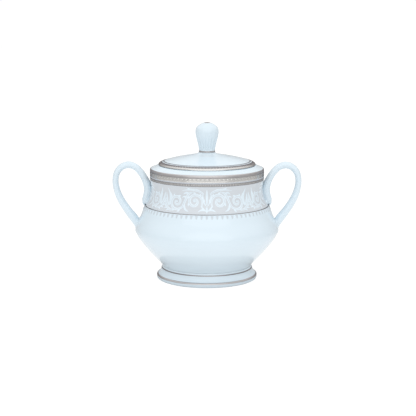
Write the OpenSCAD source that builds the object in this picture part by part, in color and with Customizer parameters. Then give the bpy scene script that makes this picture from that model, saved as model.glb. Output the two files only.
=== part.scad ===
// Covered sugar bowl in glazed porcelain, with fired-on platinum bands and a frieze.
// The origin is the centre of the foot's underside. +Z is up, +X runs across the handles.

/* [Bowl] */
// Radius at the widest part of the belly
belly_r = 53.4; // [50:0.1:58]
// Radius of the narrowest part of the neck
neck_r = 41.5; // [39:0.1:42]
// Radius of the upright stretch under the rim
rim_r = 42.4; // [42.2:0.1:44]
// Height of the flat seat that the lid rests on
seat_z = 85.3; // [85:0.1:86]
// Radius of the mouth
mouth_r = 33.2; // [33:0.1:34]
// Porcelain thickness, measured level
wall = 3.4; // [2.8:0.1:4]
// Height of the floor inside the bowl
floor_z = 13.6; // [13:0.1:15]

/* [Foot] */
// Radius of the foot at its edge
foot_r = 37.6; // [37.2:0.1:38]
// Height of the waist between the foot and the bowl
waist_z = 9.8; // [9:0.1:10.4]
// Radius of the waist
waist_r = 33.7; // [33:0.1:34.1]

/* [Handles] */
// Half the width of a handle's strap, across the loop's plane
strap_half_w = 3.7; // [3:0.1:4.5]

/* [Lid] */
// Radius of the lid
lid_r = 36.1; // [35.6:0.1:36.6]
// Clear gap between the lid and its seat
seat_gap = 0.1; // [0.05:0.05:0.3]
// Clear gap round the locating flange
flange_gap = 0.5; // [0.3:0.1:0.8]
// Height of the flat that the knob stands on
knob_z = 94.5; // [94.2:0.1:94.8]
// Height of the top of the knob, under its platinum tip
knob_top_z = 116.5; // [116.2:0.1:118]
// Number of upright reeds round the knob
reeds = 18; // [12:1:24]

/* [Decoration] */
// Thickness of the fired-on layers
layer = 0.12; // [0.08:0.02:0.2]
// Number of hanging drops round the bowl
drops = 80; // [40:4:96]
// Width of one drop
drop_w = 1.2; // [0.6:0.1:1.6]

/* [Hidden] */

porcelain = "#eaf4fb";
platinum = "#a9a9a6";
frieze_grey = "#cfd6dc";
drop_grey = "#b9c2ca";

$fn = 96;

// Heights where the decoration starts and stops on the outside of the bowl.
drop_low_z = 52.4;
drop_high_z = 54.6;
line_low_z = 55.1;
line_high_z = 55.6;
frieze_low_z = 55.8;
frieze_high_z = 74.7;
rim_low_z = 74.8;
// Height where the upright stretch starts to round over into the shoulder.
rim_round_z = 81.6;

// ---- Curves ----------------------------------------------------------------------------

// Points of a cubic curve from a to d, steered by b and c. The first point is left out.
function curve(a, b, c, d, steps) =
    [for (i = [1:steps]) let (t = i / steps, s = 1 - t)
        s * s * s * a + 3 * s * s * t * b + 3 * s * t * t * c + t * t * t * d];

// Value at x of a smooth curve through stations, each of which is [x, value].
function slope(st, i) =
    let (a = max(i - 1, 0), b = min(i + 1, len(st) - 1))
    (st[b][1] - st[a][1]) / (st[b][0] - st[a][0]);
function span(st, x, i = 0) = i + 2 >= len(st) || x <= st[i + 1][0] ? i : span(st, x, i + 1);
function through(st, x) =
    let (i = span(st, x), h = st[i + 1][0] - st[i][0], t = (x - st[i][0]) / h)
    (2 * t * t * t - 3 * t * t + 1) * st[i][1] + (t * t * t - 2 * t * t + t) * h * slope(st, i)
    + (3 * t * t - 2 * t * t * t) * st[i + 1][1] + (t * t * t - t * t) * h * slope(st, i + 1);

function reverse(p) = [for (i = [len(p) - 1:-1:0]) p[i]];

// The same points moved sideways by d, to the right of the direction of travel.
function beside(p, d) =
    [for (i = [0:len(p) - 1])
        let (way = p[min(i + 1, len(p) - 1)] - p[max(i - 1, 0)])
        p[i] + d * [way[1], -way[0]] / norm(way)];

// A ring whose section lies between the points and the same points moved out by the layer.
module ring_on(p) {
    rotate_extrude()
        polygon(concat(p, reverse(beside(p, layer))));
}

// ---- Outside of the bowl ---------------------------------------------------------------

// Radius of the outer wall at heights from the waist to the rim, as [height, radius].
WALL = [[waist_z, waist_r], [12, 34.9], [15, 37.6], [20, 42.3], [26, 47.4], [32, 51.7],
    [35, 53], [37, belly_r], [39.5, 53], [43, 51.6], [48, 49.3], [54, 47],
    [57, 44.9], [61, 42.9], [68, neck_r], [72, 42], [75, rim_r], [83, rim_r]];

function wall_r(z) = through(WALL, z);

// Outer wall from height a to height b in equal steps. Neighbours share their end points.
function wall_points(a, b, steps) =
    [for (i = [0:steps]) let (z = a + (b - a) * i / steps) [wall_r(z), z]];

lower_wall = wall_points(waist_z, drop_low_z, 30);
drop_wall = wall_points(drop_low_z, drop_high_z, 2);
line_wall = wall_points(line_low_z, line_high_z, 1);
frieze_wall = wall_points(frieze_low_z, frieze_high_z, 14);
rim_wall = wall_points(rim_low_z, rim_round_z, 2);
rim_round = curve([rim_r, rim_round_z], [rim_r, 82.4], [42.1, 82.9], [41.3, 83.2], 5);
shoulder = curve([41.3, 83.2], [39.8, 83.9], [38, 84.5], [36.6, seat_z], 5);

outer_wall = concat(lower_wall, drop_wall, line_wall, frieze_wall, rim_wall, rim_round,
    shoulder);

// The outside of the bowl and of its fired-on layers, as a solid with no inside. It stands
// just clear of the layers, so that what is cut to it never bites into them.
root_gap = 0.02;
module bowl_outside() {
    decorated = concat(drop_wall, line_wall, frieze_wall, rim_wall);
    rotate_extrude()
        polygon(concat([[0, waist_z]], lower_wall, beside(decorated, layer + root_gap),
            [[0, rim_round_z]]));
}

// ---- Bowl ------------------------------------------------------------------------------

inner_low_z = 19;
inner_high_z = 76;
inner_wall = [for (z = [inner_high_z:-1.9:inner_low_z]) [wall_r(z) - wall, z]];
mouth_curve = curve([mouth_r, 82.6], [mouth_r, 80], [wall_r(inner_high_z) - wall, 79.5],
    [wall_r(inner_high_z) - wall, inner_high_z + 0.4], 6);
floor_curve = curve([wall_r(inner_low_z) - wall, inner_low_z], [34.6, 15.6], [31.5, floor_z],
    [26, floor_z], 6);

module bowl_body() {
    color(porcelain)
        rotate_extrude()
            polygon(concat([[0, waist_z]], outer_wall, [[mouth_r, seat_z], [mouth_r, 82.6]],
                mouth_curve, inner_wall, floor_curve, [[0, floor_z]]));
}

// Outside of the foot, from the ground up. The two lines lie on their own stretches.
foot_base = [[36.9, 0], [foot_r - 0.2, 0.3], [foot_r, 0.8], [foot_r, 2.4]];
foot_edge = concat([[foot_r, 2.4]], curve([foot_r, 2.4], [foot_r, 2.9], [37.1, 3.3],
    [36.7, 3.6], 3));
foot_sweep = curve([36.7, 3.6], [35.6, 4.6], [34.6, 6], [34.1, 7.8], 6);
foot_upper = [[34.1, 7.8], [33.9, 8.6]];
foot_inside = curve([waist_r - 3, waist_z], [waist_r - 3, 5], [32, 2], [33.6, 0], 6);

module pedestal_foot() {
    color(porcelain)
        rotate_extrude()
            polygon(concat(foot_base, foot_edge, foot_sweep, foot_upper,
                [[waist_r, waist_z], [waist_r - 3, waist_z]], foot_inside));
}

// ---- Handles ---------------------------------------------------------------------------

// Stations along the middle of the strap: [x, z, half thickness, half width as a share].
STRAP = [[46.6, 54.8, 0.5, 0.4], [46.9, 56.3, 1.5, 0.75], [46, 58.2, 2.8, 0.95],
    [45, 61.5, 2.9, 1], [44.1, 66, 3, 1], [44.8, 70.8, 2.9, 1], [46.8, 75.4, 2.6, 1],
    [49.7, 79.9, 2.5, 1], [53.6, 83.6, 2.5, 1], [58.8, 85.1, 2.6, 1],
    [63.8, 83.3, 2.5, 1], [67.2, 79, 2.4, 1], [68.3, 73.4, 2.3, 1], [67.6, 67.4, 2.4, 1],
    [65.6, 61.4, 2.6, 1], [62.5, 55.6, 2.8, 1], [58.7, 50, 3, 1.05],
    [55.1, 45.4, 3.2, 1.15], [52.5, 41.2, 2.9, 1.2], [51.7, 37.8, 2.2, 1.05],
    [52, 35, 1.9, 0.75], [52.4, 33.2, 1, 0.4]];
strap_sides = 12;
rings_per_station = 2;

function strap_value(k, u) =
    through([for (i = [0:len(STRAP) - 1]) [i, STRAP[i][k]]], u);
function strap_mid(u) = [strap_value(0, u), strap_value(1, u)];

// One ring of the strap: an ellipse across the path at station number u.
function strap_ring(u) =
    let (mid = strap_mid(u), way = strap_mid(u + 0.05) - strap_mid(u - 0.05),
        out = [way[1], -way[0]] / norm(way), thick = strap_value(2, u),
        half_w = strap_half_w * strap_value(3, u))
    [for (k = [0:strap_sides - 1]) let (a = 360 * k / strap_sides,
        q = mid + thick * cos(a) * out) [q[0], half_w * sin(a), q[1]]];

// A closed solid through rings that all have n points.
module skinned(rings, n) {
    last = len(rings) - 1;
    lower = [for (i = [0:last - 1], k = [0:n - 1])
        [i * n + k, i * n + (k + 1) % n, (i + 1) * n + (k + 1) % n]];
    upper = [for (i = [0:last - 1], k = [0:n - 1])
        [i * n + k, (i + 1) * n + (k + 1) % n, (i + 1) * n + k]];
    start_face = [for (k = [n - 1:-1:0]) k];
    end_face = [for (k = [0:n - 1]) last * n + k];
    polyhedron([for (ring = rings) each ring], concat([start_face], lower, upper, [end_face]));
}

module strap() {
    end = len(STRAP) - 1;
    skinned([for (i = [0:end * rings_per_station]) strap_ring(i / rings_per_station)],
        strap_sides);
}

// The right handle. Its roots are cut to the bowl's outside, so they meet it face to face.
module handle() {
    difference() {
        strap();
        bowl_outside();
    }
}

module handle_right() {
    color(porcelain) handle();
}

module handle_left() {
    color(porcelain) mirror([1, 0, 0]) handle();
}

// ---- Decoration on the bowl ------------------------------------------------------------

module rim_band() {
    color(platinum) ring_on(concat(rim_wall, rim_round));
}

module frieze_band() {
    color(frieze_grey) ring_on(frieze_wall);
}

module frieze_line() {
    color(platinum) ring_on(line_wall);
}

module drop_border() {
    color(drop_grey)
        intersection() {
            ring_on(drop_wall);
            for (i = [0:drops - 1])
                rotate(360 * i / drops)
                    translate([40, -drop_w / 2, drop_low_z - 1])
                        cube([12, drop_w, drop_high_z - drop_low_z + 2]);
        }
}

module foot_upper_line() {
    color(platinum) ring_on(foot_upper);
}

module foot_edge_line() {
    color(platinum) ring_on(foot_edge);
}

// ---- Lid -------------------------------------------------------------------------------

lid_low_z = seat_z + seat_gap;
flange_r = mouth_r - flange_gap;
flange_wall = 3;
flange_low_z = 80.1;

// Outside of the lid, from its edge to the flat under the knob.
lid_edge = concat([[lid_r, lid_low_z + 0.3]],
    curve([lid_r, lid_low_z + 0.3], [36, 86.7], [35.2, 87.2], [33.4, 87.8], 6));
lid_gap = [[33.4, 87.8], [32.5, 88.1]];
lid_line = [[32.5, 88.1], [31.8, 88.32]];
lid_slope = curve([31.8, 88.32], [26, 90.2], [19.6, 91.4], [12.8, 92.6], 9);
lid_neck = curve([12.8, 92.6], [9.8, 93.1], [7.4, 93.4], [6.3, knob_z], 5);
lid_hollow = curve([0, 91], [14, 90.8], [24, 88.6], [flange_r - flange_wall, lid_low_z], 8);

module lid_dome() {
    color(porcelain)
        rotate_extrude()
            polygon(concat([[lid_r - 0.4, lid_low_z]], lid_edge, lid_gap, lid_line, lid_slope,
                lid_neck, [[0, knob_z], [0, 91]], lid_hollow));
}

module lid_flange() {
    color(porcelain)
        rotate_extrude()
            polygon([[flange_r - flange_wall, lid_low_z], [flange_r - 2.4, flange_low_z],
                [flange_r - 0.8, flange_low_z], [flange_r, flange_low_z + 0.8],
                [flange_r, lid_low_z]]);
}

// Radius of the knob outside its reeds, and how deep the grooves between them are, by height.
knob_stem_r = 5.9;
collar_low_z = 94.9;
collar_high_z = 96;
KNOB = [[knob_z, knob_stem_r], [collar_high_z, knob_stem_r], [97.6, 6.15], [100.6, 6.7],
    [103.6, 7.5], [106.6, 8.25], [109.4, 8.65], [111.6, 8.45], [113.6, 7.5], [115.1, 5.7],
    [116, 4.2], [knob_top_z, 2.8]];
GROOVE = [[knob_z, 0], [collar_high_z, 0], [97.6, 0.45], [103.6, 0.4], [108.6, 0.2],
    [111.6, 0.05], [knob_top_z, 0]];
knob_heights = [knob_z, collar_high_z, 96.8, 97.6, 100.6, 103.6, 106.6, 109.4, 111.6, 113.6,
    115.1, 116, knob_top_z];
points_per_reed = 4;
knob_points = reeds * points_per_reed;

function knob_ring(z) =
    [for (k = [0:knob_points - 1]) let (a = 360 * k / knob_points,
        r = through(KNOB, z) - through(GROOVE, z) * (1 - abs(cos(reeds * a / 2))))
        [r * cos(a), r * sin(a), z]];

module lid_knob() {
    color(porcelain)
        skinned([for (z = knob_heights) knob_ring(z)], knob_points);
}

module lid_band() {
    color(platinum) ring_on(lid_edge);
}

module lid_inner_line() {
    color(platinum) ring_on(lid_line);
}

module knob_collar() {
    color(platinum)
        rotate_extrude()
            polygon([[knob_stem_r, collar_low_z], [knob_stem_r + 0.2, collar_low_z],
                [knob_stem_r + 0.2, collar_high_z], [knob_stem_r, collar_high_z]]);
}

module knob_cap() {
    color(platinum)
        translate([0, 0, knob_top_z])
            rotate_extrude()
                polygon([[0, 0], [2.4, 0], [1.6, 0.2], [0, 0.3]]);
}

bowl_body();
pedestal_foot();
handle_left();
handle_right();
rim_band();
frieze_band();
frieze_line();
drop_border();
foot_upper_line();
foot_edge_line();
lid_dome();
lid_flange();
lid_knob();
lid_band();
lid_inner_line();
knob_collar();
knob_cap();
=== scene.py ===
"""Looks of the covered sugar bowl: glazed porcelain, platinum bands and a scroll frieze.

Lengths are in millimetres and MM turns them into metres when a mesh is made. z is the
height above the ground. On the bowl's wall, u is the distance round the neck from the
front, positive towards +X.
"""
import math

import bpy
from mathutils import Matrix, Vector

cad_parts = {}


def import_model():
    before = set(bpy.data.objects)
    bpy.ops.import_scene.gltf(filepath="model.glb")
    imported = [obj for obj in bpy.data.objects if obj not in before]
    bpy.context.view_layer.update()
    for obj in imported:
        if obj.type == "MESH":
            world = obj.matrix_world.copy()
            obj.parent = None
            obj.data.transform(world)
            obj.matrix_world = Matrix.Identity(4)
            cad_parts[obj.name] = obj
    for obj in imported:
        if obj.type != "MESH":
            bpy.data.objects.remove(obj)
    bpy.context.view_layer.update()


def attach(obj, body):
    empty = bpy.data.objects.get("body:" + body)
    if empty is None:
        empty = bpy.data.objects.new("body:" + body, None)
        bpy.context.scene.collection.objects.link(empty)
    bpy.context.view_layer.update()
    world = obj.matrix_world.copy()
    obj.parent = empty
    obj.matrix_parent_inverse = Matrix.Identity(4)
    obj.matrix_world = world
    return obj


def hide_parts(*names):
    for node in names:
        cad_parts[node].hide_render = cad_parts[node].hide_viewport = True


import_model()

MM = 0.001
TURN = 2 * math.pi
STEPS = 192  # steps round the axis on a plain turned piece


# ---- Curves ------------------------------------------------------------------------------

def curve(a, b, c, d, steps):
    """Points of a cubic curve from a to d, steered by b and c, without the first point."""
    points = []
    for i in range(1, steps + 1):
        t = i / steps
        s = 1 - t
        weights = (s ** 3, 3 * s * s * t, 3 * s * t * t, t ** 3)
        points.append(tuple(sum(w * p[k] for w, p in zip(weights, (a, b, c, d)))
                            for k in range(2)))
    return points


def slope(stations, i, k):
    """How fast value number k changes at station i."""
    low, high = stations[max(i - 1, 0)], stations[min(i + 1, len(stations) - 1)]
    return (high[k] - low[k]) / (high[0] - low[0])


def through(stations, x, k=1):
    """Value number k at x of a smooth curve through stations, each of which starts with x."""
    i = 0
    while i + 2 < len(stations) and x > stations[i + 1][0]:
        i += 1
    a, b = stations[i], stations[i + 1]
    h = b[0] - a[0]
    t = (x - a[0]) / h
    rise_a, rise_b = h * slope(stations, i, k), h * slope(stations, i + 1, k)
    return ((2 * t ** 3 - 3 * t ** 2 + 1) * a[k] + (t ** 3 - 2 * t ** 2 + t) * rise_a
            + (3 * t ** 2 - 2 * t ** 3) * b[k] + (t ** 3 - t ** 2) * rise_b)


SHARP_TURN = math.radians(25)


def soften(points, radius, closed=True):
    """The same outline with every corner that turns by more than SHARP_TURN rounded."""
    out = []
    count = len(points)
    for i, p in enumerate(points):
        if not closed and i in (0, count - 1):
            out.append(p)
            continue
        p = Vector(p)
        before = p - Vector(points[i - 1])
        after = Vector(points[(i + 1) % count]) - p
        if before.angle(after, 0) < SHARP_TURN:
            out.append(tuple(p))
            continue
        near = p - before.normalized() * min(radius, before.length * 0.4)
        far = p + after.normalized() * min(radius, after.length * 0.4)
        for t in (0, 0.33, 0.67, 1):
            out.append(tuple(near.lerp(p, t).lerp(p.lerp(far, t), t)))
    return out


# ---- The turned shapes, with the same stations as the CAD model ---------------------------

WAIST_Z, WAIST_R = 9.8, 33.7
SEAT_Z, MOUTH_R, RIM_R, RIM_ROUND_Z = 85.3, 33.2, 42.4, 81.6
WALL_THICK, FLOOR_Z = 3.4, 13.6
INSET = 0.02  # keeps the smooth surfaces inside the box of the CAD model's facets
WALL = [(WAIST_Z, WAIST_R), (12, 34.9), (15, 37.6), (20, 42.3), (26, 47.4), (32, 51.7),
        (35, 53), (37, 53.4), (39.5, 53), (43, 51.6), (48, 49.3), (54, 47), (57, 44.9),
        (61, 42.9), (68, 41.5), (72, 42), (75, RIM_R), (83, RIM_R)]


def wall_r(z):
    """Radius of the bowl's outside at a height."""
    return through(WALL, z) - INSET


def wall_points(low, high, steps):
    """Points (radius, z) up the bowl's outside from one height to another."""
    return [(wall_r(low + (high - low) * i / steps), low + (high - low) * i / steps)
            for i in range(steps + 1)]


RIM_ROUND = curve((RIM_R, RIM_ROUND_Z), (RIM_R, 82.4), (42.1, 82.9), (41.3, 83.2), 8)
SHOULDER = curve((41.3, 83.2), (39.8, 83.9), (38, 84.5), (36.6, SEAT_Z), 10)


# ---- Meshes ------------------------------------------------------------------------------

SMOOTH_BELOW = math.radians(40)  # edges that turn by less are shaded smooth
BALL_SIDES, BALL_ROWS = 10, 6


def new_object(name, points, faces, material):
    """A Blender object made from points in millimetres."""
    mesh = bpy.data.meshes.new(name)
    mesh.from_pydata([(x * MM, y * MM, z * MM) for x, y, z in points], [], faces)
    mesh.materials.append(material)
    obj = bpy.data.objects.new(name, mesh)
    bpy.context.scene.collection.objects.link(obj)
    return obj


class Shape:
    """Collects points, in millimetres, and faces, then becomes one piece of the object."""

    def __init__(self):
        self.points = []
        self.faces = []

    def turned(self, profile, closed=True, steps=STEPS, ripple=None):
        """Turns a profile of (radius, z) round the axis. ripple(angle, z) adds to the radius."""
        rows = []
        for r, z in profile:
            start = len(self.points)
            if r < 1e-6:
                self.points.append((0, 0, z))
                rows.append([start])
                continue
            for k in range(steps):
                a = TURN * k / steps
                reach = r + (ripple(a, z) if ripple else 0)
                self.points.append((reach * math.sin(a), -reach * math.cos(a), z))
            rows.append(list(range(start, start + steps)))
        pairs = list(zip(rows, rows[1:]))
        if closed:
            pairs.append((rows[-1], rows[0]))
        for low, high in pairs:
            for k in range(steps):
                j = (k + 1) % steps
                corners = [low[k % len(low)], low[j % len(low)],
                           high[j % len(high)], high[k % len(high)]]
                self.faces.append(list(dict.fromkeys(corners)))
        return self

    def tube(self, rings):
        """A closed tube through rings of points, each ring with the same number of them."""
        start, n = len(self.points), len(rings[0])
        for ring in rings:
            self.points.extend(ring)
        for i in range(len(rings) - 1):
            for k in range(n):
                j = (k + 1) % n
                low, high = start + i * n, start + (i + 1) * n
                self.faces.append([low + k, low + j, high + j, high + k])
        self.faces.append([start + k for k in reversed(range(n))])
        last = start + (len(rings) - 1) * n
        self.faces.append([last + k for k in range(n)])
        return self

    def ball(self, centre, across, out, up, sizes):
        """An egg at centre whose half sizes lie along across, out and up."""
        rings = []
        for i in range(1, BALL_ROWS):
            b = math.pi * i / BALL_ROWS - math.pi / 2
            ring = []
            for k in range(BALL_SIDES):
                a = TURN * k / BALL_SIDES
                ring.append(tuple(centre + across * (sizes[0] * math.cos(b) * math.cos(a))
                                  + out * (sizes[1] * math.cos(b) * math.sin(a))
                                  + up * (sizes[2] * math.sin(b))))
            rings.append(ring)
        return self.tube(rings)

    def piece(self, name, material, body, slot, replaces=()):
        """Makes the shape one visible piece, which stands for the CAD nodes it replaces."""
        obj = new_object(name, self.points, self.faces, material)
        mesh = obj.data
        mesh.validate()
        mesh.polygons.foreach_set("use_smooth", [True] * len(mesh.polygons))
        mesh.set_sharp_from_angle(angle=SMOOTH_BELOW)
        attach(obj, body)
        if replaces:
            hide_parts(*replaces)


SKIN_SINK = 0.3  # how far a skin reaches into the porcelain under it


def skin(outline, lift):
    """Profile of a thin turned skin over an outline that runs upwards, proud by lift."""
    shifted = []
    for depth in (lift, -SKIN_SINK):
        row = []
        for i, p in enumerate(outline):
            before, after = outline[max(i - 1, 0)], outline[min(i + 1, len(outline) - 1)]
            way = (Vector(after) - Vector(before)).normalized()
            row.append((p[0] + way[1] * depth, p[1] - way[0] * depth))
        shifted.append(row)
    return shifted[0] + shifted[1][::-1]


def moulding(low, high, lift):
    """Profile of a half-round ridge on the bowl's wall from one height to another."""
    steps = 8
    middle, half = (low + high) / 2, (high - low) / 2
    round_points = []
    for i in range(steps + 1):
        a = math.pi * (i / steps - 0.5)
        z = middle + half * math.sin(a)
        round_points.append((wall_r(z) + lift * math.cos(a), z))
    return round_points + [(wall_r(high) - SKIN_SINK, high), (wall_r(low) - SKIN_SINK, low)]


def platinum_ring(name, outline, lift, material, body, replaces=()):
    """A thin ring of platinum over an outline of the porcelain."""
    Shape().turned(skin(outline, lift)).piece(name, material, body, "platinum", replaces)


# ---- Materials ---------------------------------------------------------------------------

def new_material(name, base, roughness, metallic=0.0):
    """A material with one shader, and that shader."""
    material = bpy.data.materials.new(name)
    material.use_nodes = True
    shader = material.node_tree.nodes["Principled BSDF"]
    shader.inputs["Base Color"].default_value = (*base, 1)
    shader.inputs["Roughness"].default_value = roughness
    shader.inputs["Metallic"].default_value = metallic
    return material, shader


def add(material, kind, **values):
    """Adds a shader node and sets its properties and its named inputs."""
    node = material.node_tree.nodes.new(kind)
    for key, value in values.items():
        if hasattr(node, key):
            setattr(node, key, value)
        else:
            node.inputs[key.replace("_", " ")].default_value = value
    return node


def link(material, source, target):
    material.node_tree.links.new(source, target)


def noise(material, scale, detail=3.0, stretch=(1, 1, 1)):
    """Noise over the object's own coordinates, mostly from 0.3 to 0.7."""
    where = add(material, "ShaderNodeTexCoord")
    mapping = add(material, "ShaderNodeMapping", Scale=stretch)
    texture = add(material, "ShaderNodeTexNoise", Scale=scale, Detail=detail)
    link(material, where.outputs["Object"], mapping.inputs["Vector"])
    link(material, mapping.outputs["Vector"], texture.inputs["Vector"])
    return texture.outputs["Fac"]


def ranged(material, value, low, high):
    """Spreads a noise value between low and high."""
    node = add(material, "ShaderNodeMapRange",
               From_Min=0.3, From_Max=0.7, To_Min=low, To_Max=high)
    link(material, value, node.inputs["Value"])
    return node.outputs["Result"]


def blended(material, value, low, high):
    """Colour between low and high, by a value from 0 to 1."""
    node = add(material, "ShaderNodeMix", data_type="RGBA")
    # A mix of colours has its factor at socket 0, its colours at 6 and 7 and its result at 2.
    node.inputs[6].default_value = (*low, 1)
    node.inputs[7].default_value = (*high, 1)
    link(material, value, node.inputs[0])
    return node.outputs[2]


def bump(material, shader, height, distance):
    """Raises the surface by a height from 0 to 1 times a distance in metres."""
    node = add(material, "ShaderNodeBump", Distance=distance, Strength=1.0)
    link(material, height, node.inputs["Height"])
    link(material, node.outputs["Normal"], shader.inputs["Normal"])


def porcelain_material():
    """Bluish white porcelain under a clear gloss glaze, which lies a little unevenly."""
    low, high = (0.69, 0.795, 0.865), (0.71, 0.815, 0.885)
    material, shader = new_material("porcelain_glaze", high, 0.1)
    link(material, blended(material, noise(material, 45), low, high), shader.inputs["Base Color"])
    link(material, ranged(material, noise(material, 90), 0.07, 0.13), shader.inputs["Roughness"])
    bump(material, shader, noise(material, 160, 2), 0.00002)
    return material


def white_enamel_material():
    """Thick white enamel, a little whiter and less glossy than the glaze."""
    low, high = (0.71, 0.81, 0.88), (0.75, 0.85, 0.92)
    material, shader = new_material("white_enamel", high, 0.2)
    link(material, blended(material, noise(material, 400), low, high), shader.inputs["Base Color"])
    link(material, ranged(material, noise(material, 700), 0.15, 0.3), shader.inputs["Roughness"])
    return material


def round_the_axis(material, times):
    """A value that waves from 0 to 1 and back so many times round the bowl's axis."""
    where = add(material, "ShaderNodeTexCoord")
    split = add(material, "ShaderNodeSeparateXYZ")
    angle = add(material, "ShaderNodeMath", operation="ARCTAN2")
    many = add(material, "ShaderNodeMath", operation="MULTIPLY")
    many.inputs[1].default_value = times
    wave = add(material, "ShaderNodeMath", operation="SINE")
    half = add(material, "ShaderNodeMath", operation="MULTIPLY_ADD")
    half.inputs[1].default_value = 0.5
    half.inputs[2].default_value = 0.5
    link(material, where.outputs["Object"], split.inputs["Vector"])
    link(material, split.outputs["X"], angle.inputs[0])
    link(material, split.outputs["Y"], angle.inputs[1])
    link(material, angle.outputs[0], many.inputs[0])
    link(material, many.outputs[0], wave.inputs[0])
    link(material, wave.outputs[0], half.inputs[0])
    return half.outputs[0]


HATCH_LINES = 360


def frieze_ground_material():
    """Pale grey print, hatched with fine upright lines, under the same glaze."""
    low, high = (0.58, 0.62, 0.66), (0.66, 0.70, 0.74)
    material, shader = new_material("frieze_grey", high, 0.15)
    hatch = round_the_axis(material, HATCH_LINES)
    link(material, blended(material, hatch, low, high), shader.inputs["Base Color"])
    link(material, ranged(material, noise(material, 120), 0.1, 0.2), shader.inputs["Roughness"])
    return material


def grey_print_material():
    """The grey of the drops, with the fine grain of a printed colour."""
    low, high = (0.55, 0.61, 0.66), (0.63, 0.69, 0.74)
    material, shader = new_material("grey_print", high, 0.2)
    link(material, blended(material, noise(material, 900), low, high), shader.inputs["Base Color"])
    link(material, ranged(material, noise(material, 500), 0.15, 0.3), shader.inputs["Roughness"])
    return material


EDGE_TINT = (0.4, 0.37, 0.38, 1)  # the thin metal looks darker where it is seen edge on


def platinum_material(name, low, high, smooth, rough, metallic=1.0):
    """Fired-on platinum, wiped on round the axis, so its fine streaks run round."""
    material, shader = new_material(name, high, rough, metallic)
    shader.inputs["Specular Tint"].default_value = EDGE_TINT
    streaks = noise(material, 500, 4, stretch=(0.15, 0.15, 6))
    link(material, blended(material, streaks, low, high), shader.inputs["Base Color"])
    wear = ranged(material, noise(material, 260), smooth, rough)
    link(material, wear, shader.inputs["Roughness"])
    bump(material, shader, streaks, 0.000003)
    return material


PORCELAIN = porcelain_material()
ENAMEL = white_enamel_material()
FRIEZE_GREY = frieze_ground_material()
GREY_PRINT = grey_print_material()
PLATINUM = platinum_material(
    "platinum_satin", (0.62, 0.61, 0.59), (0.72, 0.71, 0.69), 0.2, 0.32)
PLATINUM_BRIGHT = platinum_material(
    "platinum_bright", (0.69, 0.68, 0.66), (0.79, 0.78, 0.76), 0.1, 0.2)
# Darker and rougher than the satin platinum. On the foot's edge line and on the rim's top strip,
# this darkness is painted shade.
PLATINUM_LINE = platinum_material(
    "platinum_line", (0.48, 0.46, 0.46), (0.56, 0.54, 0.54), 0.3, 0.4)
PLATINUM_DARK = platinum_material(
    "platinum_dark", (0.28, 0.27, 0.28), (0.36, 0.35, 0.36), 0.3, 0.45)
PLATINUM_BLUE = platinum_material(
    "platinum_blue", (0.54, 0.58, 0.63), (0.62, 0.66, 0.71), 0.2, 0.3, metallic=0.25)


# ---- The bowl ----------------------------------------------------------------------------

INNER_LOW_Z, INNER_HIGH_Z = 19, 76


def inner_r(z):
    """Radius of the bowl's inside at a height."""
    return wall_r(z) - WALL_THICK


def bowl_outline():
    """The bowl's outline: out along the underside, up the wall, down inside and to the axis."""
    mouth_low = 82.6
    neck_in = inner_r(INNER_HIGH_Z)
    floor_in = inner_r(INNER_LOW_Z)
    outside = wall_points(WAIST_Z, RIM_ROUND_Z, 80) + RIM_ROUND + SHOULDER
    mouth = [(MOUTH_R, SEAT_Z), (MOUTH_R, mouth_low)]
    turn_in = curve((MOUTH_R, mouth_low), (MOUTH_R, 80), (neck_in, 79.5), (neck_in, 76.4), 12)
    inside = [(inner_r(z), z) for z in range(INNER_HIGH_Z, INNER_LOW_Z - 1, -1)]
    floor = curve((floor_in, INNER_LOW_Z), (34.6, 15.6), (31.5, FLOOR_Z), (26, FLOOR_Z), 12)
    return soften([(0, WAIST_Z)] + outside + mouth + turn_in + inside + floor
                  + [(0, FLOOR_Z)], 0.5, closed=False)


FOOT_R, FOOT_EDGE_Z = 37.6, 2.4
FOOT_EDGE = curve((FOOT_R, FOOT_EDGE_Z), (FOOT_R, 2.9), (37.1, 3.3), (36.7, 3.6), 6)
FOOT_UPPER = [(34.1, 7.8), (34, 8.2), (33.9, 8.6)]
LINE_LIFT = 0.1  # how far a platinum line stands proud of the glaze


def foot_outline():
    """The foot's closed outline: up outside, across under the bowl and down inside."""
    inside_r = WAIST_R - 3
    outside = soften([(36.9, 0), (37.4, 0.3), (FOOT_R, 0.8), (FOOT_R, FOOT_EDGE_Z)], 0.3,
                     closed=False)
    flare = curve((36.7, 3.6), (35.6, 4.6), (34.6, 6), (34.1, 7.8), 12)
    top = [(33.9, 8.6), (WAIST_R, WAIST_Z), (inside_r, WAIST_Z)]
    inside = curve((inside_r, WAIST_Z), (inside_r, 5), (32, 2), (33.6, 0), 12)
    return outside + FOOT_EDGE + flare + top + inside


Shape().turned(bowl_outline(), closed=False).piece(
    "bowl_shell", PORCELAIN, "bowl", "porcelain", ["bowl_body"])
Shape().turned(foot_outline()).piece(
    "foot_ring", PORCELAIN, "bowl", "porcelain", ["pedestal_foot"])

# The two foot lines are real platinum lines. The darker platinum they are given is painted shade:
# it stands in for the shade under the belly and dulls the highlight they would catch.
platinum_ring("foot_edge_ring", [(FOOT_R, FOOT_EDGE_Z)] + FOOT_EDGE, LINE_LIFT, PLATINUM_LINE,
              "bowl", ["foot_edge_line"])
platinum_ring("foot_upper_ring", FOOT_UPPER, LINE_LIFT, PLATINUM_DARK,
              "bowl", ["foot_upper_line"])


# ---- Handles -----------------------------------------------------------------------------

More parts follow.
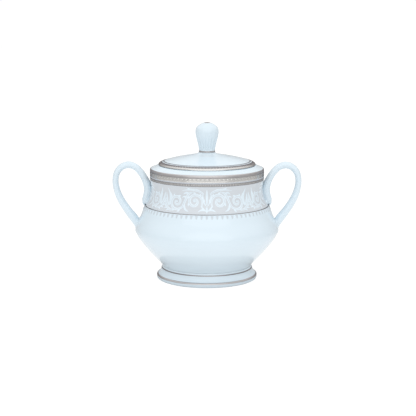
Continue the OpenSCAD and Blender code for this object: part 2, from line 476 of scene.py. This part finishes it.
# Stations along the middle of the strap: x, z, half thickness, half width as a share.
STRAP = [(46.6, 54.8, 0.5, 0.4), (46.9, 56.3, 1.5, 0.75), (46, 58.2, 2.8, 0.95),
         (45, 61.5, 2.9, 1), (44.1, 66, 3, 1), (44.8, 70.8, 2.9, 1), (46.8, 75.4, 2.6, 1),
         (49.7, 79.9, 2.5, 1), (53.6, 83.6, 2.5, 1), (58.8, 85.1, 2.6, 1),
         (63.8, 83.3, 2.5, 1), (67.2, 79, 2.4, 1), (68.3, 73.4, 2.3, 1),
         (67.6, 67.4, 2.4, 1), (65.6, 61.4, 2.6, 1), (62.5, 55.6, 2.8, 1),
         (58.7, 50, 3, 1.05), (55.1, 45.4, 3.2, 1.15), (52.5, 41.2, 2.9, 1.2),
         (51.7, 37.8, 2.2, 1.05), (52, 35, 1.9, 0.75), (52.4, 33.2, 1, 0.4)]
STRAP_STATIONS = [(i, *s) for i, s in enumerate(STRAP)]
STRAP_HALF_W = 3.7
STRAP_SIDES, RINGS_PER_STATION = 36, 8
FILLET = 1.6  # how far from the wall the strap begins to spread
FLARE = 1.28  # how far it has spread where it meets the wall


def strap_mid(t):
    """Point on the strap's middle line at t, counted in stations."""
    return Vector((through(STRAP_STATIONS, t, 1), 0, through(STRAP_STATIONS, t, 2)))


def flared(point, normal):
    """Spreads the strap's surface sideways where it nears the wall, as soft clay is joined."""
    r = math.hypot(point.x, point.y)
    gap = r - wall_r(min(max(point.z, WAIST_Z), RIM_ROUND_Z))
    if gap >= FILLET:
        return point
    share = 1 - max(gap, 0) / FILLET
    out = Vector((point.x / r, point.y / r, 0))
    side = normal - out * normal.dot(out)
    return point + side * FLARE * (1 - math.sqrt(1 - share * share))


def strap_ring(t, side):
    """Points round the strap at t, for the handle on +X or, with side -1, on -X."""
    mid = strap_mid(t)
    way = (strap_mid(t + 0.05) - strap_mid(t - 0.05)).normalized()
    out = Vector((way.z, 0, -way.x))
    thick = through(STRAP_STATIONS, t, 3) - INSET
    half_w = STRAP_HALF_W * through(STRAP_STATIONS, t, 4)
    ring = []
    for k in range(STRAP_SIDES):
        a = TURN * k / STRAP_SIDES
        normal = (out * math.cos(a) / thick + Vector((0, math.sin(a) / half_w, 0))).normalized()
        p = flared(mid + out * thick * math.cos(a) + Vector((0, half_w * math.sin(a), 0)), normal)
        ring.append((p.x * side, p.y * side, p.z))
    return ring


def handle(name, side, node):
    """One ear-shaped loop handle, which stands for a CAD node."""
    end = (len(STRAP) - 1) * RINGS_PER_STATION
    rings = [strap_ring(i / RINGS_PER_STATION, side) for i in range(end + 1)]
    Shape().tube(rings).piece(name, PORCELAIN, "bowl", "porcelain", [node])


handle("handle_loop_left", -1, "handle_left")
handle("handle_loop_right", 1, "handle_right")


# ---- Rim band ----------------------------------------------------------------------------

def on_wall(u, z, lift=0.0):
    """Point on the bowl's wall, with the ways round, out and up there."""
    a = u / RIM_R
    r = wall_r(min(z, RIM_ROUND_Z)) + lift
    out = Vector((math.sin(a), -math.cos(a), 0))
    across = Vector((math.cos(a), math.sin(a), 0))
    return Vector((0, 0, z)) + out * r, across, out, Vector((0, 0, 1))


ROUND_LENGTH = TURN * RIM_R


def rim_strip(name, low, high, lift, material, replaces=()):
    """A band of platinum on the wall from one height to another."""
    platinum_ring(name, wall_points(low, high, 2), lift, material, "bowl", replaces)


def bead_row(count, r, z, sizes, tilt=0.0, shift=0.0):
    """Beads round the axis. Their half sizes lie round it, out of the surface and up along it.

    The surface leans back from upright by tilt, in degrees.
    """
    shape = Shape()
    lean = math.radians(tilt)
    for i in range(count):
        a = TURN * (i + shift) / count
        across = Vector((math.cos(a), math.sin(a), 0))
        away = Vector((math.sin(a), -math.cos(a), 0))
        up = Vector((0, 0, 1))
        shape.ball(up * z + away * r, across, away * math.cos(lean) + up * math.sin(lean),
                   up * math.cos(lean) - away * math.sin(lean), sizes)
    return shape


FIELD_LIFT = 0.06  # the grounds of the beads and ticks lie lower than the lines
TOP_STRIP_Z = 81.1
TOP_STRIP = wall_points(TOP_STRIP_Z, RIM_ROUND_Z, 2) + RIM_ROUND[:6]
RIM_BEADS, RIM_TICKS = 86, 216

rim_strip("rim_tick_field", 74.8, 76.8, FIELD_LIFT, PLATINUM_DARK, ["rim_band"])
rim_strip("rim_blue_stripe", 76.8, 77.6, LINE_LIFT, PLATINUM_BLUE)
Shape().turned(moulding(77.6, 78.6, 0.13)).piece(
    "rim_bright_line", PLATINUM_BRIGHT, "bowl", "platinum")
rim_strip("rim_bead_field", 78.6, 80.7, FIELD_LIFT, PLATINUM)
rim_strip("rim_dark_line", 80.7, TOP_STRIP_Z, LINE_LIFT, PLATINUM_DARK)
# The darker, rougher platinum on the rim's top strip is painted shade: it dulls the highlight on
# the rounding and stands in for its darker edge.
platinum_ring("rim_top_strip", TOP_STRIP, LINE_LIFT, PLATINUM_LINE, "bowl")
bead_row(RIM_BEADS, RIM_R + FIELD_LIFT, 79.7, (1.15, 0.14, 0.6)).piece(
    "rim_beads", PLATINUM, "bowl", "platinum")
bead_row(RIM_TICKS, RIM_R + FIELD_LIFT, 75.8, (0.36, 0.1, 0.75)).piece(
    "rim_ticks", PLATINUM, "bowl", "platinum")


# ---- Frieze ------------------------------------------------------------------------------

FRIEZE_LOW_Z, FRIEZE_HIGH_Z = 55.8, 74.7
GROUND_LIFT = 0.04  # how far the grey ground stands proud of the glaze
RELIEF = 0.1  # how far the scrolls stand proud of the ground
FRIEZE_REPEATS = 4

Shape().turned(skin(wall_points(FRIEZE_LOW_Z, FRIEZE_HIGH_Z, 40), GROUND_LIFT)).piece(
    "frieze_ground", FRIEZE_GREY, "bowl", "frieze_ground", ["frieze_band"])
platinum_ring("frieze_lower_line", wall_points(55.1, 55.6, 2), LINE_LIFT, PLATINUM_DARK,
              "bowl", ["frieze_line"])


def sweep(a, b, c, d, steps=14):
    """Spine of a stroke along a cubic curve from a to d."""
    return [a] + curve(a, b, c, d, steps)


def spiral(u, z, start_r, end_r, start_a, end_a):
    """Spine of a scroll round (u, z), from one radius and angle, in degrees, to the others."""
    degrees_per_step = 14
    steps = max(12, int(abs(end_a - start_a) / degrees_per_step))
    points = []
    for i in range(steps + 1):
        t = i / steps
        r = start_r + (end_r - start_r) * t ** 0.85
        a = math.radians(start_a + (end_a - start_a) * t)
        points.append((u + r * math.cos(a), z + r * math.sin(a)))
    return points


def leaf(a, d, bend=0.0):
    """A leaf's spine from a to d, bowed sideways by bend times its length."""
    side = ((a[1] - d[1]) * bend, (d[0] - a[0]) * bend)
    b = (a[0] * 0.67 + d[0] * 0.33 + side[0], a[1] * 0.67 + d[1] * 0.33 + side[1])
    c = (a[0] * 0.33 + d[0] * 0.67 + side[0], a[1] * 0.33 + d[1] * 0.67 + side[1])
    return sweep(a, b, c, d, 8)


def scroll_leaves(scroll, places, length, lean):
    """Leaves that grow outwards from a scroll at shares of its run, leaning along it."""
    u, z, start_r, end_r, start_a, end_a = scroll
    spine = spiral(*scroll)
    turn = 1 if end_a > start_a else -1
    leaves = []
    for share in places:
        p = spine[int(share * (len(spine) - 1))]
        a = math.atan2(p[1] - z, p[0] - u) + turn * math.radians(lean)
        tip = (p[0] + length * math.cos(a), p[1] + length * math.sin(a))
        leaves.append((leaf(p, tip, -0.25 * turn), 1.5, 0.6, 0.15, 0.4))
    return leaves


def fan(root, tips, width):
    """Long leaves that spring from one root. Each tip is (u, z, bend)."""
    return [(leaf(root, (u, z), bend), width, 0.5, 0.15, 0.55) for u, z, bend in tips]


# Each scroll is its middle (u, z), then its radius and its angle, at the start and the end.
SCROLL_A = (8.9, 64.2, 6.1, 1.0, 212, -330)
SCROLL_B = (22.6, 63.6, 5.9, 1.0, -148, 400)
# Every stroke is its spine, its width, its width at the start and the end as shares of
# that, and where along the spine it is widest.
HALF_UNIT = [
    (spiral(*SCROLL_A), 2.0, 0.5, 0.5, 0.25),
    (spiral(*SCROLL_B), 2.0, 0.7, 0.5, 0.25),
    (sweep((10.4, 70.6), (14.4, 70.6), (15.2, 66), (17.6, 60.5)), 1.9, 0.4, 0.8, 0.5),
    (sweep((2.2, 69.4), (5.4, 72.6), (11, 73.6), (18.4, 71.6)), 1.6, 0.5, 0.2, 0.35),
    (sweep((24.6, 58), (27.4, 57), (29.6, 58.6), (31.4, 61)), 1.5, 0.6, 0.6, 0.5),
    (sweep((0.4, 57.6), (2.4, 59.2), (3.4, 60), (3.8, 61.2)), 1.1, 0.5, 0.8, 0.6),
    (leaf((0.3, 61), (2.8, 70.2), -0.16), 1.3, 0.3, 0.2, 0.6),
    (leaf((0.5, 57.8), (6, 57.2), 0.25), 1.4, 0.4, 0.2, 0.4),
    (leaf((6, 72.4), (10.2, 71.4), 0.2), 1.1, 0.5, 0.2, 0.4),
    (leaf((10.4, 73), (14.6, 74.1), -0.15), 1.1, 0.5, 0.2, 0.4),
    (leaf((13, 69.8), (17.4, 69), 0.25), 1.4, 0.5, 0.2, 0.4),
    (leaf((15, 66.6), (18.6, 66.6), 0.3), 1.2, 0.5, 0.2, 0.4),
    (leaf((16.4, 62.8), (12.6, 57.4), 0.3), 1.5, 0.5, 0.2, 0.4),
]
VEINED = HALF_UNIT[:5]
VEIN_WIDTH = 0.4
VEIN_RAISED = 0.6  # as a share of the relief
HALF_UNIT += fan((29.2, 60.4), [(28.4, 69.6, 0.22), (30.4, 72.6, 0.12), (32.6, 69.4, -0.1)], 1.7)
HALF_UNIT += fan((30.6, 60.4), [(33.2, 65.6, -0.2), (33.2, 61.2, -0.3)], 1.5)
HALF_UNIT += fan((26.6, 57.6), [(30.2, 56.7, 0.25), (33, 58.2, 0.2)], 1.3)
HALF_UNIT += scroll_leaves(SCROLL_A, (0.06, 0.14, 0.22, 0.34, 0.44), 2.5, 58)
HALF_UNIT += scroll_leaves(SCROLL_B, (0.06, 0.14, 0.3, 0.38, 0.47), 2.5, 58)
MIDDLE_STROKES = [
    (leaf((0, 62), (0, 72.8)), 1.7, 0.4, 0.15, 0.55),
    (leaf((0, 60.6), (0, 56.4)), 1.4, 0.5, 0.2, 0.4),
]
# The round eyes of the scrolls: u, z and radius.
BALLS = [(SCROLL_A[0], SCROLL_A[1], 1.0), (SCROLL_B[0], SCROLL_B[1], 1.0)]
# Round a stroke: the way sideways, and the height as a share of the relief.
SECTION = [(-1, 0), (-0.7, 0.7), (-0.25, 1), (0.25, 1), (0.7, 0.7), (1, 0), (0, -1)]


def stroke_rings(spine, width, start, end, peak, raised=0.0):
    """Rings of a low rounded ridge on the wall along a spine of (u, z).

    A raised ridge lies on top of another one of the same shares.
    """
    rings = []
    last = len(spine) - 1
    for i, (u, z) in enumerate(spine):
        t = i / last
        near = t / peak if t < peak else (1 - t) / (1 - peak)
        edge = start if t < peak else end
        share = edge + (1 - edge) * math.sin(near * math.pi / 2)
        before, after = spine[max(i - 1, 0)], spine[min(i + 1, last)]
        way = (Vector(after) - Vector(before)).normalized()
        half = width / 2 * share
        ring = []
        for s, h in SECTION:
            lift = GROUND_LIFT + RELIEF * (raised * share + h * (share if h > 0 else 1))
            ring.append(tuple(on_wall(u + way[1] * half * s, z - way[0] * half * s, lift)[0]))
        rings.append(ring)
    return rings


def frieze_scrolls():
    """The white scrolls and leaves, and the thin grey veins along the widest of them."""
    scrolls, veins = Shape(), Shape()
    period = ROUND_LENGTH / FRIEZE_REPEATS
    for n in range(FRIEZE_REPEATS):
        middle = n * period
        for spine, *widths in MIDDLE_STROKES:
            scrolls.tube(stroke_rings([(middle + u, z) for u, z in spine], *widths))
        for side in (-1, 1):
            for spine, *widths in HALF_UNIT:
                placed = [(middle + side * u, z) for u, z in spine]
                scrolls.tube(stroke_rings(placed, *widths))
            for spine, _, *shares in VEINED:
                placed = [(middle + side * u, z) for u, z in spine]
                veins.tube(stroke_rings(placed, VEIN_WIDTH, *shares, raised=VEIN_RAISED))
            for u, z, r in BALLS:
                place_and_ways = on_wall(middle + side * u, z, GROUND_LIFT)
                scrolls.ball(*place_and_ways, (r, RELIEF * 1.3, r))
    scrolls.piece("frieze_scrolls", ENAMEL, "bowl", "porcelain")
    veins.piece("frieze_veins", FRIEZE_GREY, "bowl", "frieze_ground")


frieze_scrolls()


# ---- Drops under the frieze ----------------------------------------------------------------

DROPS = 80
DROP_TOP_Z, DROP_LOW_Z = 54.6, 52.3
DOT_Z = 53.2
CAP_Z, CAP_HALF = 54.5, 0.9  # the short bar that each drop hangs from


def drops():
    """A tapered drop under a short bar, repeated round the bowl."""
    shape = Shape()
    for i in range(DROPS):
        u = ROUND_LENGTH * i / DROPS
        drop = leaf((u, DROP_TOP_Z), (u, DROP_LOW_Z))
        cap = leaf((u - CAP_HALF, CAP_Z), (u + CAP_HALF, CAP_Z))
        shape.tube(stroke_rings(drop, 1.3, 0.9, 0.35, 0.3))
        shape.tube(stroke_rings(cap, 0.5, 0.6, 0.6, 0.5))
    shape.piece("hanging_drops", GREY_PRINT, "bowl", "grey_print", ["drop_border"])


drops()
bead_row(DROPS, wall_r(DOT_Z), DOT_Z, (0.5, 0.08, 0.5), tilt=25, shift=0.5).piece(
    "drop_dots", ENAMEL, "bowl", "porcelain")


# ---- Lid ---------------------------------------------------------------------------------

LID_R, LID_LOW_Z, KNOB_Z, KNOB_TOP_Z = 36.1, SEAT_Z + 0.1, 94.5, 116.5
FLANGE_R, FLANGE_LOW_Z = MOUTH_R - 0.5, 80.1
LID_EDGE = [(LID_R, LID_LOW_Z + 0.3)] + curve(
    (LID_R, LID_LOW_Z + 0.3), (36, 86.7), (35.2, 87.2), (33.4, 87.8), 14)
LID_LINE = [(32.5, 88.1), (32.15, 88.21), (31.8, 88.32)]
LID_BEADS = 96


def lid_outline():
    """The lid's outline: out along the hollow underside, round the edge and up to the knob."""
    slope_up = curve((31.8, 88.32), (26, 90.2), (19.6, 91.4), (12.8, 92.6), 24)
    neck = curve((12.8, 92.6), (9.8, 93.1), (7.4, 93.4), (6.3, KNOB_Z), 10)
    hollow = curve((0, 91), (14, 90.8), (24, 88.6), (FLANGE_R - 3, LID_LOW_Z), 20)
    return ([(0, 91)] + hollow + [(LID_R - 0.4, LID_LOW_Z)] + LID_EDGE + LID_LINE + slope_up
            + neck + [(0, KNOB_Z)])


def flange_outline():
    """The closed outline of the ring that centres the lid in the mouth."""
    return soften([(FLANGE_R - 3, LID_LOW_Z), (FLANGE_R - 2.4, FLANGE_LOW_Z),
                   (FLANGE_R - 0.8, FLANGE_LOW_Z), (FLANGE_R, FLANGE_LOW_Z + 0.8),
                   (FLANGE_R, LID_LOW_Z)], 0.4)


Shape().turned(lid_outline(), closed=False).piece(
    "lid_shell", PORCELAIN, "lid", "porcelain", ["lid_dome"])
Shape().turned(flange_outline()[::-1]).piece(
    "lid_locating_ring", PORCELAIN, "lid", "porcelain", ["lid_flange"])
platinum_ring("lid_band_edge", LID_EDGE[:8], LINE_LIFT, PLATINUM, "lid", ["lid_band"])
platinum_ring("lid_band_field", LID_EDGE[7:13], 0.05, PLATINUM_DARK, "lid")
platinum_ring("lid_band_inner", LID_EDGE[12:], LINE_LIFT, PLATINUM_DARK, "lid")
bead_row(LID_BEADS, 34.8, 87.24, (0.62, 0.12, 0.34), tilt=64).piece(
    "lid_band_beads", PLATINUM, "lid", "platinum")
platinum_ring("lid_line", LID_LINE, 0.08, PLATINUM_DARK, "lid", ["lid_inner_line"])


# ---- Knob --------------------------------------------------------------------------------

REEDS = 18
KNOB_STEM_R = 5.9
KNOB = [(KNOB_Z, KNOB_STEM_R), (96, KNOB_STEM_R), (97.6, 6.15), (100.6, 6.7), (103.6, 7.5),
        (106.6, 8.25), (109.4, 8.65), (111.6, 8.45), (113.6, 7.5), (115.1, 5.7), (116, 4.2),
        (KNOB_TOP_Z, 2.8)]
# Depth of the grooves between the reeds at each height.
GROOVE = [(KNOB_Z, 0), (96, 0), (97.6, 0.45), (103.6, 0.4), (108.6, 0.2), (111.6, 0.05),
          (KNOB_TOP_Z, 0)]


def reeded(a, z):
    """What the grooves take from the knob's radius at an angle and a height."""
    return -max(0, through(GROOVE, z)) * (1 - abs(math.cos(REEDS * a / 2)))


def knob_outline():
    """The knob's outline from its foot up to its flat top."""
    count = 60
    heights = [KNOB_Z + (KNOB_TOP_Z - KNOB_Z) * i / count for i in range(count + 1)]
    return [(0, KNOB_Z)] + [(through(KNOB, z), z) for z in heights] + [(0, KNOB_TOP_Z)]


Shape().turned(knob_outline(), closed=False, steps=REEDS * 16, ripple=reeded).piece(
    "knob", PORCELAIN, "lid", "porcelain", ["lid_knob"])
platinum_ring("knob_ring", [(KNOB_STEM_R, 94.9), (KNOB_STEM_R, 96)], 0.18, PLATINUM_LINE,
              "lid", ["knob_collar"])


def tip_outline():
    """A low cushion of platinum on the knob's flat top."""
    edge_r, low, edge_z, top = 2.4, KNOB_TOP_Z - 0.2, KNOB_TOP_Z + 0.02, KNOB_TOP_Z + 0.3
    crown = curve((edge_r, edge_z), (2, KNOB_TOP_Z + 0.2), (1, top), (0, top), 8)
    return [(0, low), (edge_r, low), (edge_r, edge_z)] + crown


Shape().turned(tip_outline(), closed=False).piece(
    "knob_tip", PLATINUM_DARK, "lid", "platinum", ["knob_cap"])


# ---- Stage, light and camera ----------------------------------------------------------------

def stage_piece(name, profile, material, for_camera=True):
    """A piece of the studio that only the camera sees, or that only light and gloss meet."""
    shape = Shape().turned(profile, closed=False, steps=96)
    obj = new_object(name, shape.points, shape.faces, material)
    obj.visible_camera = for_camera
    obj.visible_diffuse = not for_camera
    obj.visible_glossy = not for_camera
    obj.visible_shadow = False


def glowing(name, base, glow):
    """Plain matt grey of a brightness, which also glows white."""
    material, shader = new_material(name, (base, base, base), 0.9)
    shader.inputs["Specular IOR Level"].default_value = 0
    shader.inputs["Emission Color"].default_value = (1, 1, 1, 1)
    shader.inputs["Emission Strength"].default_value = glow
    return material


BOWL_MIDDLE = Vector((0, 0, 0.05))  # metres
# Brightness of the studio from straight down to straight up, as (share of the way, value).
STUDIO = [(0, 1.2), (0.3, 1.05), (0.42, 0.65), (0.58, 0.52), (0.75, 1), (0.88, 1.2), (1, 0.9)]


def world():
    """Soft light from all round, by height only."""
    studio = bpy.data.worlds.new("studio")
    bpy.context.scene.world = studio
    studio.use_nodes = True
    nodes, links = studio.node_tree.nodes, studio.node_tree.links
    where = nodes.new("ShaderNodeTexCoord")
    split = nodes.new("ShaderNodeSeparateXYZ")
    share = nodes.new("ShaderNodeMath")
    share.operation = "MULTIPLY_ADD"
    share.inputs[1].default_value = 0.5
    share.inputs[2].default_value = 0.5
    ramp = nodes.new("ShaderNodeValToRGB")
    stops = ramp.color_ramp.elements
    while len(stops) < len(STUDIO):
        stops.new(0.5)
    for stop, (place, value) in zip(stops, STUDIO):
        stop.position = place
        stop.color = (value, value, value, 1)
    links.new(where.outputs["Generated"], split.inputs[0])
    links.new(split.outputs["Z"], share.inputs[0])
    links.new(share.outputs[0], ramp.inputs[0])
    links.new(ramp.outputs["Color"], nodes["Background"].inputs["Color"])


def area_light(name, place, size, power):
    """A soft box at a place in metres, of a size in metres, that faces the bowl."""
    data = bpy.data.lights.new(name, "AREA")
    data.shape = "RECTANGLE"
    data.size, data.size_y = size
    data.energy = power
    obj = bpy.data.objects.new(name, data)
    obj.location = place
    way = BOWL_MIDDLE - Vector(place)
    obj.rotation_euler = way.to_track_quat("-Z", "Y").to_euler()
    obj.visible_camera = False
    bpy.context.scene.collection.objects.link(obj)


def camera():
    """Looks down at the bowl's front. Lengths are in metres."""
    pitch = math.radians(9.84)
    roll = math.radians(0.1)
    distance = 0.78975
    target = Vector((0.0008, 0, 0.0525))
    data = bpy.data.cameras.new("camera")
    data.lens = 91.1
    data.sensor_width = 36
    obj = bpy.data.objects.new("camera", data)
    place = target + Vector((0, -math.cos(pitch), math.sin(pitch))) * distance
    obj.matrix_world = (Matrix.Translation(place) @ Matrix.Rotation(math.pi / 2 - pitch, 4, "X")
                        @ Matrix.Rotation(roll, 4, "Z"))
    bpy.context.scene.collection.objects.link(obj)
    bpy.context.scene.camera = obj


stage_piece("floor", [(0, -0.05), (8000, -0.05)], glowing("floor_white", 0.25, 0.84))
stage_piece("floor_near", [(0, -0.5), (47, -0.5)], glowing("floor_shade", 0.6, 0),
            for_camera=False)
stage_piece("backdrop", [(8000, 0), (9000, 3000), (6000, 8000), (0, 9000)],
            glowing("backdrop_white", 0, 1.02))
world()
area_light("top_soft", (0, -0.3, 1.3), (1.5, 1.5), 1.5)
area_light("front_soft", (0, -1.4, 0.5), (2.4, 1.0), 6)
camera()
bpy.context.scene.view_settings.view_transform = "Standard"
